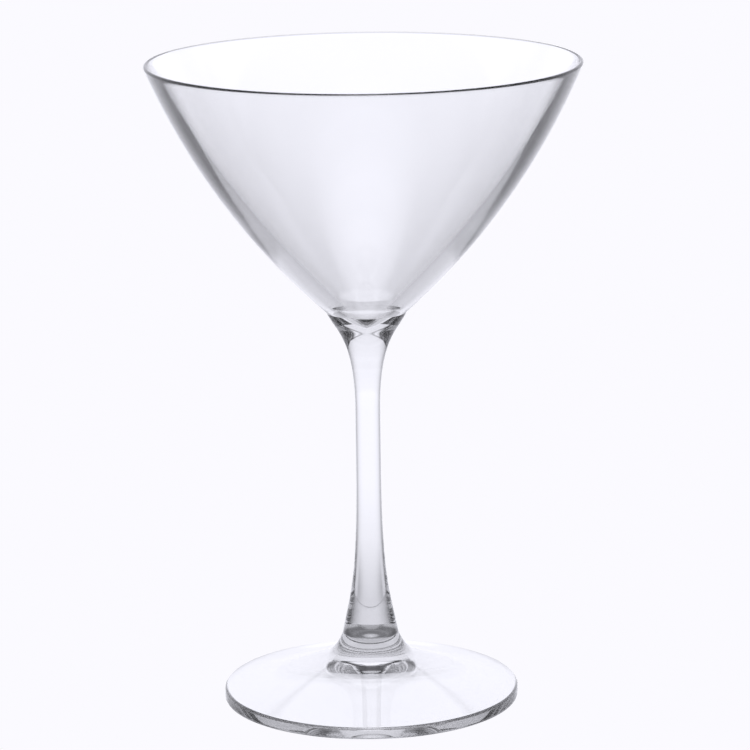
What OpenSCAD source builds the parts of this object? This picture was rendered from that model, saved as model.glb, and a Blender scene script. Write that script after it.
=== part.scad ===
// Stemmed cocktail glass of three pieces, joined hot: a V-shaped bowl, a drawn stem and a foot.
// Millimetres, +Z up, origin at the centre of the underside of the foot.

/* [Bowl] */
// Height of the whole glass, table to lip
overall_h = 170; // [160:1:185]
// Outside diameter at the lip
rim_d = 113; // [100:1:124]
// Thickness of the wall at the lip, which is rounded over
lip_t = 1; // [0.8:0.1:2]
// Thickness of the wall at the bottom, where it reaches the stem
wall_t = 4.9; // [3.6:0.1:5.6]
// How far the outside bulges beyond a straight line from stem to lip
outer_bulge = 4.4; // [3:0.2:6]
// Diameter of the V-shaped well at the bottom of the inside
well_d = 15.8; // [14:0.2:17]
// Depth of that well
well_depth = 6; // [4:0.1:7]
// Glass between the tip of the well and the stem
bottom_t = 3; // [2:0.1:4]

/* [Stem] */
// Height of the seam ring where the bowl meets the stem
bowl_seam_z = 104.4; // [100:0.2:106]
// Diameter of that seam ring
bowl_seam_d = 21.2; // [20:0.2:24]
// Diameter at the waist
waist_d = 6.6; // [5:0.2:9]
// Length of the flare below the bowl
neck_l = 26.4; // [20:0.2:32]
// Height of the seam where the stem meets the foot
foot_seam_z = 17.2; // [15:0.2:19]
// Diameter of that seam
foot_seam_d = 14.8; // [12:0.2:16]
// Length of the flare above the foot
root_l = 42.8; // [32:0.2:48]

/* [Foot] */
// Diameter of the foot
foot_d = 78; // [70:1:90]
// Height of the edge of the foot
foot_edge_h = 3.2; // [2.6:0.2:4]
// Diameter of the hub, where the cone of the foot turns up into the flare
hub_d = 25.2; // [22:0.2:28]
// Height of that turn
hub_h = 11.1; // [10:0.1:12]
// Height of the hollow under the middle of the foot
kick_h = 7.2; // [6:0.2:8]
// Width of the flat ring it stands on
ring_w = 1; // [0.8:0.1:2.4]

/* [Hidden] */
$fn = 180;
seam = [bowl_seam_d / 2, bowl_seam_z];
root = [foot_seam_d / 2, foot_seam_z];
hub = [hub_d / 2, hub_h];
waist_r = waist_d / 2;
well_r = well_d / 2;
foot_r = foot_d / 2;
lip_r = lip_t / 2;
heel_r = 0.5;
edge_r = 0.8;
seat_sag = 1.4;
well_bulge = 0.7;
cone_sag = 0.4;
// Where the curves are pulled to: from the nearer end of the curve, or as a share of its length.
root_pull = [-2.1, 10.6];
root_rise = 15.5;
neck_share = 0.267;
head_pull = [-2.42, -5.35];
kick_share = 0.31;
fall_share = [0.46, 0.58];
hub_pull = [-2.6, 0.7];
collar_pull = [0.9, -2.4];
glass = [0.86, 0.9, 0.95, 0.45];

// Points of a circular arc from a to b that bulges to the right of the way from a to b.
function arc(a, b, bulge, n) =
    let(
        chord = norm(b - a),
        dir = (b - a) / chord,
        side = [dir[1], -dir[0]],
        radius = (chord * chord / 4 + bulge * bulge) / (2 * bulge),
        half = asin(chord / 2 / radius),
        middle = (a + b) / 2 - side * (radius - bulge)
    )
    [for (i = [0:n]) let(t = half * (2 * i / n - 1))
        middle + radius * (side * cos(t) + dir * sin(t))];

// Points of a cubic curve from a to d, pulled towards b and c.
function curve(a, b, c, d, n) =
    [for (i = [0:n]) let(t = i / n, s = 1 - t)
        s * s * s * a + 3 * s * s * t * b + 3 * s * t * t * c + t * t * t * d];

// Points round a centre from one angle to another.
function round_over(centre, r, from, to, n) =
    [for (i = [0:n]) let(t = from + (to - from) * i / n) centre + r * [cos(t), sin(t)]];

// The same outline without its last point, or without its first, for joining stretches.
function open(points) = [for (i = [0:len(points) - 2]) points[i]];
function rest(points) = [for (i = [1:len(points) - 1]) points[i]];

function reversed(points) = [for (i = [len(points) - 1:-1:0]) points[i]];

// Thickness of the wall, from the lip (s = 0) to the seam (s = 1).
function wall(s) = lip_t + (wall_t - lip_t) * s * (1.5 - 0.5 * s);

// Direction of travel at point i of a line of points, and the unit vector to its left.
function way(points, i) =
    let(step = points[min(i + 1, len(points) - 1)] - points[max(i - 1, 0)]) step / norm(step);
function left(d) = [-d[1], d[0]];

// How steeply the outside runs into the lip.
lean = [rim_d / 2, overall_h - lip_r] - seam;
tilt = atan2(lean[1], lean[0]) + 2 * atan(2 * outer_bulge / norm(lean));

// Where the rounding of the lip begins, so that the lip is exactly as high and wide as asked.
shoulder = [rim_d / 2 - lip_r * (1 - sin(tilt)), overall_h - lip_r * (1 + cos(tilt))];
outside = arc(seam, shoulder, outer_bulge, 24);
lip = round_over(shoulder + lip_r * left([cos(tilt), sin(tilt)]), lip_r, tilt - 90, tilt + 90, 8);

// The inside follows the outside at the thickness of the wall, down to the well.
inside = [for (i = [23:-1:0]) outside[i] + wall(1 - i / 24) * left(way(outside, i))];
well_rim = [well_r, lookup(well_r, inside)];
tip = [0, well_rim[1] - well_depth];
seat = arc([0, tip[1] - bottom_t], seam, seat_sag, 8);

function bowl_outline() = concat(
    open(seat), open(outside), lip,
    [for (p = inside) if (p[0] > well_r + 0.2) p],
    reversed(arc(tip, well_rim, well_bulge, 8)));

function stem_outline() = concat(
    [[0, root[1]]],
    open(curve(root, root + root_pull, [waist_r, root[1] + root_rise],
        [waist_r, root[1] + root_l], 20)),
    curve([waist_r, seam[1] - neck_l], [waist_r, seam[1] - neck_share * neck_l],
        seam + head_pull, seam, 20),
    rest(reversed(seat)));

function foot_outline() =
    let(
        ring_r = foot_r - heel_r - ring_w,
        edge = round_over([foot_r - edge_r, foot_edge_h - edge_r], edge_r, 0, 75, 6),
        cone = edge[6] - hub
    )
    concat(
        open(curve([0, kick_h], [kick_share * foot_r, kick_h],
            [fall_share[0] * foot_r, fall_share[1] * kick_h], [ring_r, 0], 16)),
        [[ring_r, 0]],
        round_over([foot_r - heel_r, heel_r], heel_r, -90, 0, 4),
        edge,
        rest(curve(edge[6], hub + cone * 2 / 3 - [0, cone_sag],
            hub + cone * 0.3 - [0, cone_sag], hub, 10)),
        rest(curve(hub, hub + hub_pull, root + collar_pull, root, 8)),
        [[0, root[1]]]);

// The V-shaped cup: wall, rounded lip, and a closed bottom that sits in the head of the stem.
module bowl() {
    color(glass) rotate_extrude() polygon(bowl_outline());
}

// The stem: solid, waisted, flaring at the top to a seat for the bowl and at the bottom to the hub.
module stem() {
    color(glass) rotate_extrude() polygon(stem_outline());
}

// The foot: a low cone with a hub, a rounded edge and a hollow underneath.
module foot() {
    color(glass) rotate_extrude() polygon(foot_outline());
}

bowl();
stem();
foot();
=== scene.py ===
import math

import bmesh
import bpy
from mathutils import Matrix, Vector


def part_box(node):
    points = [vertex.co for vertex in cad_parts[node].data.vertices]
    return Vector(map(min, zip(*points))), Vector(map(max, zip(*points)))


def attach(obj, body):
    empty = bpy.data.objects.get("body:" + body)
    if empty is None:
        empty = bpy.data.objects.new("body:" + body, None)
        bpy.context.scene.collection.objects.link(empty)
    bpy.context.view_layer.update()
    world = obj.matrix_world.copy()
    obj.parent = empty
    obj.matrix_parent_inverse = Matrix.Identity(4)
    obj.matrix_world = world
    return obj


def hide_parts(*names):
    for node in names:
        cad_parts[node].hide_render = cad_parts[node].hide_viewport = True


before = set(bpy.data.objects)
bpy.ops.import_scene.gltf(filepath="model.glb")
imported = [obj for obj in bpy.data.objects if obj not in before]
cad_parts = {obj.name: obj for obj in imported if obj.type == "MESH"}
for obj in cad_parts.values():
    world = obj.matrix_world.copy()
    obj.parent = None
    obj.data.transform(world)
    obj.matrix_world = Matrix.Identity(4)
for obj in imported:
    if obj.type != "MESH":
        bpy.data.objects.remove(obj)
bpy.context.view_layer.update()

MM = 0.001
SEGMENTS = 256          # facets round the axis

# ---------------------------------------------------------------- sizes (mm)
bowl_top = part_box("bowl")[1]
foot_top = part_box("foot")[1]
OVERALL = bowl_top[2] / MM
RIM_R = bowl_top[0] / MM
LIP_T = 1.0             # of the wall at the lip
WALL_T = 4.9            # of the wall at the bottom of the bowl
BULGE = 4.4             # of the outside of the bowl
SEAM = (10.6, 104.4)    # where bowl and stem meet: radius, height
WELL_R = 7.9
WELL_DEPTH = 6.0
WELL_BULGE = 0.7

WAIST_R = 3.3
NECK_L = 26.4           # flare below the bowl
BASE = (7.4, foot_top[2] / MM)      # where stem and foot meet
ROOT_L = 42.8           # flare above the foot

FOOT_R = foot_top[0] / MM
HUB = (12.6, 11.1)      # where the cone of the foot turns up into the flare
RIM_H = 3.2             # height of the edge of the foot
EDGE_R = 0.8            # of the rounding above that edge
HEEL_R = 0.5            # of the rounding below it
KICK_H = 7.2            # hollow under the middle
RING_W = 1.0            # flat ring the glass stands on
CONE_SAG = 0.4

# Where the curves are pulled to: from the nearer end of the curve, or as a share of its length.
ROOT_PULL = (-2.1, 10.6)
ROOT_RISE = 15.5
NECK_SHARE = 0.267
HEAD_PULL = (-2.42, -5.35)
KICK_SHARE = 0.31
FALL_SHARE = (0.46, 0.58)
HUB_PULL = (-2.6, 0.7)
COLLAR_PULL = (0.9, -2.4)

GAP = 0.005             # between fused faces, so that light crosses them one at a time


# ---------------------------------------------------------------- outlines
def arc(a, b, bulge, n):
    """Circular arc from a to b that bulges to the right of the way from a to b."""
    a, b = Vector(a), Vector(b)
    chord = (b - a).length
    way = (b - a) / chord
    side = Vector((way.y, -way.x))
    radius = (chord * chord / 4 + bulge * bulge) / (2 * bulge)
    half = math.asin(chord / 2 / radius)
    centre = (a + b) / 2 - side * (radius - bulge)
    points = []
    for i in range(n + 1):
        t = half * (2 * i / n - 1)
        points.append(centre + radius * (side * math.cos(t) + way * math.sin(t)))
    return points


def curve(a, b, c, d, n):
    """Cubic curve from a to d, pulled towards b and c."""
    a, b, c, d = Vector(a), Vector(b), Vector(c), Vector(d)
    points = []
    for i in range(n + 1):
        t = i / n
        s = 1 - t
        points.append(s**3 * a + 3 * s * s * t * b + 3 * s * t * t * c + t**3 * d)
    return points


def round_over(centre, r, start, end, n):
    """Points round a centre from one angle to another, in degrees."""
    points = []
    for i in range(n + 1):
        t = math.radians(start + (end - start) * i / n)
        points.append(Vector(centre) + r * Vector((math.cos(t), math.sin(t))))
    return points


def wall(s):
    """Thickness of the bowl's wall, from the lip (s = 0) to the seam (s = 1)."""
    return LIP_T + (WALL_T - LIP_T) * s * (1.5 - 0.5 * s)


def inner_wall(outside):
    """The inside of the bowl from the lip down to the well, and the rim of the well."""
    inside = []
    last = len(outside) - 1
    for i in range(last - 1, -1, -1):
        step = (outside[i + 1] - outside[max(i - 1, 0)]).normalized()
        p = outside[i] + Vector((-step.y, step.x)) * wall(1 - i / last)
        if p.x <= WELL_R:
            break
        inside.append(p)
    mix = (inside[-1].x - WELL_R) / (inside[-1].x - p.x)
    rim = inside[-1].lerp(p, mix)
    if inside[-1].x < WELL_R + 0.2:
        inside.pop()
    return inside, rim


def bowl_outline():
    lip_r = LIP_T / 2
    lean = Vector((RIM_R, OVERALL - lip_r)) - Vector(SEAM)
    tilt = math.atan2(lean.y, lean.x) + 2 * math.atan(2 * BULGE / lean.length)
    shoulder = Vector((RIM_R - lip_r * (1 - math.sin(tilt)), OVERALL - lip_r * (1 + math.cos(tilt))))
    outside = arc(SEAM, shoulder, BULGE, 96)
    centre = shoulder + lip_r * Vector((-math.sin(tilt), math.cos(tilt)))
    lip = round_over(centre, lip_r, math.degrees(tilt) - 90, math.degrees(tilt) + 90, 16)
    inside, rim = inner_wall(outside)
    well = arc((0, rim.y - WELL_DEPTH), rim, WELL_BULGE, 24)[::-1]
    return [Vector((0, SEAM[1]))] + outside + lip[1:] + inside + well


def stem_outline():
    base, seam_edge = Vector(BASE), Vector(SEAM)
    waist_z = BASE[1] + ROOT_L
    neck_z = SEAM[1] - NECK_L
    top = SEAM[1] - GAP
    root = curve(base, base + Vector(ROOT_PULL), (WAIST_R, BASE[1] + ROOT_RISE), (WAIST_R, waist_z), 80)
    shank = [Vector((WAIST_R, waist_z + (neck_z - waist_z) * k / 3)) for k in (1, 2)]
    neck = curve((WAIST_R, neck_z), (WAIST_R, SEAM[1] - NECK_SHARE * NECK_L),
                 seam_edge + Vector(HEAD_PULL), (SEAM[0], top), 80)
    return [Vector((0, BASE[1]))] + root + shank + neck + [Vector((0, top))]


def foot_outline():
    ring_r = FOOT_R - HEEL_R - RING_W
    under = curve((0, KICK_H), (KICK_SHARE * FOOT_R, KICK_H),
                  (FALL_SHARE[0] * FOOT_R, FALL_SHARE[1] * KICK_H), (ring_r, 0), 80)
    heel = round_over((FOOT_R - HEEL_R, HEEL_R), HEEL_R, -90, 0, 10)
    edge = round_over((FOOT_R - EDGE_R, RIM_H - EDGE_R), EDGE_R, 0, 75, 14)
    hub = Vector(HUB)
    cone = edge[-1] - hub
    sag = Vector((0, -CONE_SAG))
    top = curve(edge[-1], hub + cone * 2 / 3 + sag, hub + cone * 0.3 + sag, hub, 60)[1:]
    collar = Vector((BASE[0], BASE[1] - GAP))
    flare = curve(hub, hub + Vector(HUB_PULL), collar + Vector(COLLAR_PULL), collar, 40)[1:]
    return under + heel + edge + top + flare + [Vector((0, collar.y))]


# ---------------------------------------------------------------- meshes
def ring_of(bm, p):
    """A ring of vertices at an outline's point, or one vertex where the point is on the axis."""
    if p.x < 1e-6:
        return [bm.verts.new((0, 0, p.y * MM))]
    ring = []
    for i in range(SEGMENTS):
        a = 2 * math.pi * i / SEGMENTS
        ring.append(bm.verts.new((p.x * MM * math.cos(a), p.x * MM * math.sin(a), p.y * MM)))
    return ring


def mark_seams(bm, heights):
    """Give the flat faces at these heights the second material, with a hard edge round them."""
    for f in bm.faces:
        f.smooth = True
        z = [v.co.z / MM for v in f.verts]
        if any(max(abs(q - h) for q in z) < 2 * GAP for h in heights):
            f.material_index = 1
            f.smooth = False
    for e in bm.edges:
        if len({f.material_index for f in e.link_faces}) == 2:
            e.smooth = False


def revolve(name, outline, glass, seam_heights):
    """Closed solid of revolution, with its fused faces in the second material."""
    bm = bmesh.new()
    rings = [ring_of(bm, p) for p in outline]
    for low, high in zip(rings, rings[1:]):
        for i in range(SEGMENTS):
            j = (i + 1) % SEGMENTS
            if len(low) == 1:
                bm.faces.new((low[0], high[j], high[i]))
            elif len(high) == 1:
                bm.faces.new((low[i], low[j], high[0]))
            else:
                bm.faces.new((low[i], low[j], high[j], high[i]))
    bmesh.ops.recalc_face_normals(bm, faces=bm.faces)
    mark_seams(bm, seam_heights)
    me = bpy.data.meshes.new(name)
    bm.to_mesh(me)
    bm.free()
    me.materials.append(glass)
    me.materials.append(fused)
    ob = bpy.data.objects.new(name, me)
    bpy.context.scene.collection.objects.link(ob)
    return ob


# ---------------------------------------------------------------- materials
def clear_glass(name, absorption, ripple_scale, ripple_height, squash=1.0, clarity=1.0):
    """Clear glass that greys with depth (absorption, per metre), with the faint wave left by
    blowing, drawing or pressing. A squash above 1 makes the wave shorter along the axis."""
    m = bpy.data.materials.new(name)
    m.use_nodes = True
    t = m.node_tree
    t.nodes.clear()
    out = t.nodes.new("ShaderNodeOutputMaterial")
    p = t.nodes.new("ShaderNodeBsdfPrincipled")
    p.inputs["Transmission Weight"].default_value = 1
    p.inputs["Roughness"].default_value = 0
    p.inputs["IOR"].default_value = 1.52
    p.inputs["Base Color"].default_value = (clarity, clarity, clarity, 1)
    t.links.new(p.outputs[0], out.inputs["Surface"])

    grey = 0.5
    depth = t.nodes.new("ShaderNodeVolumeAbsorption")
    depth.inputs["Color"].default_value = (grey, grey, grey, 1)
    depth.inputs["Density"].default_value = absorption / (1 - grey)
    t.links.new(depth.outputs[0], out.inputs["Volume"])

    place = t.nodes.new("ShaderNodeTexCoord")
    stretch = t.nodes.new("ShaderNodeMapping")
    stretch.inputs["Scale"].default_value = (1, 1, squash)
    ripple = t.nodes.new("ShaderNodeTexNoise")
    ripple.inputs["Scale"].default_value = ripple_scale
    ripple.inputs["Detail"].default_value = 1
    bump = t.nodes.new("ShaderNodeBump")
    bump.inputs["Strength"].default_value = 1
    bump.inputs["Distance"].default_value = ripple_height
    t.links.new(place.outputs["Object"], stretch.inputs["Vector"])
    t.links.new(stretch.outputs["Vector"], ripple.inputs["Vector"])
    t.links.new(ripple.outputs["Fac"], bump.inputs["Height"])
    t.links.new(bump.outputs["Normal"], p.inputs["Normal"])
    return m


def invisible(name):
    """For the two faces of a seam, which are fused glass in life and can't be seen."""
    m = bpy.data.materials.new(name)
    m.use_nodes = True
    m.node_tree.nodes["Principled BSDF"].inputs["Alpha"].default_value = 0
    return m


fused = invisible("fused_seam")
bowl_glass = clear_glass("bowl_glass", 12, 50, 1.5e-5)
stem_glass = clear_glass("stem_glass", 15, 100, 1e-5, squash=4.0)
foot_glass = clear_glass("foot_glass", 8, 60, 1e-5, clarity=0.885)

bowl = revolve("bowl_blown", bowl_outline(), bowl_glass, [SEAM[1]])
stem = revolve("stem_drawn", stem_outline(), stem_glass, [SEAM[1], BASE[1]])
foot = revolve("foot_pressed", foot_outline(), foot_glass, [BASE[1]])

for piece, name in ((bowl, "bowl"), (stem, "stem"), (foot, "foot")):
    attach(piece, "root")
    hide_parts(name)

# ---------------------------------------------------------------- floor
scene = bpy.context.scene
scene.view_settings.view_transform = "Standard"
PAPER = (0.965, 0.957, 1.0)
FLOOR_REACH = 6         # metres from the middle to the side
FLOOR_DROP = 0.0002     # below the foot, so that the two faces don't meet


def paper_floor():
    """A plain white floor that only the camera sees, so that the glass shows the studio light."""
    r = FLOOR_REACH
    me = bpy.data.meshes.new("floor")
    me.from_pydata([(-r, -r, 0), (r, -r, 0), (r, r, 0), (-r, r, 0)], [], [(0, 1, 2, 3)])
    paper = bpy.data.materials.new("paper")
    paper.use_nodes = True
    t = paper.node_tree
    t.nodes.clear()
    out = t.nodes.new("ShaderNodeOutputMaterial")
    glow = t.nodes.new("ShaderNodeEmission")
    glow.inputs["Color"].default_value = (*PAPER, 1)
    t.links.new(glow.outputs[0], out.inputs[0])
    me.materials.append(paper)
    floor = bpy.data.objects.new("floor", me)
    floor.location.z = -FLOOR_DROP
    scene.collection.objects.link(floor)
    for flag in ("diffuse", "glossy", "transmission", "volume_scatter", "shadow"):
        setattr(floor, "visible_" + flag, False)
    return floor


paper_floor()

# ---------------------------------------------------------------- studio light
# The brightness of the studio, which the glass bends and mirrors: by elevation, straight down
# to straight up, and then by azimuth from straight ahead, in degrees.
ELEVATION = [
    (-90, 0.95), (-80, 0.86), (-75, 0.38), (-66, 0.4), (-61, 0.72), (-54, 0.78), (-39, 0.8),
    (-30, 0.72), (-25, 0.77), (-20, 0.86), (-15, 0.96), (-10.2, 1.0), (-8.8, 0.95), (-4, 0.95),
    (2, 1.0), (36.5, 1.0), (39, 0.2), (43, 0.06), (70, 0.06), (84, 0.5), (90, 0.8),
]
AZIMUTH = [
    (0, 1.0), (14, 1.0), (24, 0.98), (34, 0.91), (45, 0.8), (54, 0.56), (62, 0.4), (70, 0.45),
    (85, 0.88), (100, 0.95), (180, 0.95),
]
LOW_AZIMUTH = [
    (0, 1.0), (15, 0.95), (27, 0.72), (33, 0.62), (38, 0.85), (45, 0.95), (52, 0.85),
    (58, 0.25), (70, 0.18), (83, 0.7), (100, 0.92), (180, 0.92),
]
DEEP_AZIMUTH = [
    (0, 1.0), (15, 0.95), (27, 0.72), (34, 0.58), (50, 0.2), (70, 0.18), (110, 0.25), (180, 0.3),
]
LOW_FROM, LOW_FULL = -20, -28       # elevations between which the low azimuths take over
DEEP_FROM, DEEP_FULL = -31, -40     # and the deep ones
BACKDROP = 1.1                      # brightness of the whole
COOL = 1.09                         # blue against red and green
SIDE_LIFT = 0.16                    # how much lower the top of the backdrop comes at the sides
STRIP = 1.2                         # the soft light above and behind
STRIP_BOTTOM = math.sin(math.radians(36.5))
STRIP_TOP = math.sin(math.radians(82))

world = bpy.data.worlds.new("studio")
scene.world = world
world.use_nodes = True
sky = world.node_tree
sky.nodes.clear()


def maths(op, *values, clamp=False):
    n = sky.nodes.new("ShaderNodeMath")
    n.operation = op
    n.use_clamp = clamp
    for i, v in enumerate(values):
        if isinstance(v, (int, float)):
            n.inputs[i].default_value = v
        else:
            sky.links.new(v, n.inputs[i])
    return n.outputs[0]


def times(a, b, clamp=False):
    return maths("MULTIPLY", a, b, clamp=clamp)


def blend(a, b, share):
    return maths("MULTIPLY_ADD", maths("SUBTRACT", b, a), share, a)


def fade_in(value, start, end):
    """0 at the start and before it, 1 at the end and past it."""
    return maths("MULTIPLY_ADD", value, 1 / (end - start), -start / (end - start), clamp=True)


def ramp(value, table):
    n = sky.nodes.new("ShaderNodeValToRGB")
    sky.links.new(value, n.inputs[0])
    stops = n.color_ramp.elements
    while len(stops) > 1:
        stops.remove(stops[-1])
    for i, (at, v) in enumerate(table):
        stop = stops[0] if i == 0 else stops.new(at)
        stop.position = at
        stop.color = (v, v, v, 1)
    return n.outputs[0]


def direction():
    """Height of a ray's direction, its level part, and how far it turns aside (0 ahead, 1 back)."""
    place = sky.nodes.new("ShaderNodeTexCoord")
    split = sky.nodes.new("ShaderNodeSeparateXYZ")
    sky.links.new(place.outputs["Generated"], split.inputs[0])
    x, y, z = split.outputs
    level = maths("SQRT", maths("MULTIPLY_ADD", x, x, times(y, y)))
    aside = maths("MULTIPLY_ADD", maths("DIVIDE", y, maths("MAXIMUM", level, 1e-4)), -0.5, 0.5)
    return z, level, aside


def light_by_height(z, aside):
    lift = times(times(times(aside, 5.5, clamp=True), times(z, 3.0, clamp=True)), SIDE_LIFT)
    height = maths("MULTIPLY_ADD", maths("ADD", z, lift), 0.5, 0.5)
    table = [(math.sin(math.radians(a)) / 2 + 0.5, v) for a, v in ELEVATION]
    return ramp(height, table)


def strip_light(z, aside):
    """The front of the foot mirrors this light round the image of the stem."""
    ahead = fade_in(aside, 0.08, 0.03)
    above = fade_in(z, STRIP_BOTTOM, STRIP_BOTTOM + 0.04)
    under = fade_in(z, STRIP_TOP, STRIP_TOP - 0.03)
    return times(times(ahead, above), times(under, STRIP))


def light_by_side(z, level, aside):
    def around(table):
        return ramp(aside, [(0.5 - math.cos(math.radians(a)) / 2, v) for a, v in table])

    def below(start, end):
        return fade_in(z, math.sin(math.radians(start)), math.sin(math.radians(end)))

    side = blend(around(AZIMUTH), around(LOW_AZIMUTH), below(LOW_FROM, LOW_FULL))
    side = blend(side, around(DEEP_AZIMUTH), below(DEEP_FROM, DEEP_FULL))
    reach = times(level, 1.6, clamp=True)
    return maths("MULTIPLY_ADD", maths("SUBTRACT", side, 1.0), reach, 1.0)


def studio():
    z, level, aside = direction()
    by_height = maths("MAXIMUM", light_by_height(z, aside), strip_light(z, aside))
    light = times(times(by_height, light_by_side(z, level, aside)), BACKDROP)
    colour = sky.nodes.new("ShaderNodeCombineColor")
    for socket, value in zip(colour.inputs, (light, light, times(light, COOL))):
        sky.links.new(value, socket)
    # seen directly, the studio is plain paper
    rays = sky.nodes.new("ShaderNodeLightPath")
    pick = sky.nodes.new("ShaderNodeMix")
    pick.data_type = "RGBA"
    sky.links.new(rays.outputs["Is Camera Ray"], pick.inputs["Factor"])
    sky.links.new(colour.outputs[0], pick.inputs["A"])
    pick.inputs["B"].default_value = (*PAPER, 1)
    back = sky.nodes.new("ShaderNodeBackground")
    sky.links.new(pick.outputs["Result"], back.inputs["Color"])
    out = sky.nodes.new("ShaderNodeOutputWorld")
    sky.links.new(back.outputs[0], out.inputs[0])


studio()

# ---------------------------------------------------------------- camera
DISTANCE, EYE_Z, SHIFT_X = 0.9421, 0.3046, 0.0020   # metres
PITCH, ROLL = 0.2268, 0.0127                        # radians, down and clockwise
LENS = 177.1536                                     # mm, on a sensor 36 mm wide

cam = bpy.data.cameras.new("camera")
cam.sensor_width = 36
cam.lens = LENS
cam.clip_start = 0.01
camera = bpy.data.objects.new("camera", cam)
scene.collection.objects.link(camera)
scene.camera = camera

right = Vector((1, 0, 0))
up = Vector((0, math.sin(PITCH), math.cos(PITCH)))
forward = Vector((0, math.cos(PITCH), -math.sin(PITCH)))
rolled_right = right * math.cos(ROLL) - up * math.sin(ROLL)
rolled_up = up * math.cos(ROLL) + right * math.sin(ROLL)
axes = Matrix((rolled_right, rolled_up, -forward)).transposed().to_4x4()
camera.matrix_world = Matrix.Translation((SHIFT_X, -DISTANCE, EYE_Z)) @ axes

BOUNCES = 128           # light is caught many times inside the stem and the edge of the foot
scene.cycles.max_bounces = BOUNCES
scene.cycles.transmission_bounces = BOUNCES
scene.cycles.glossy_bounces = BOUNCES
scene.cycles.transparent_max_bounces = 32
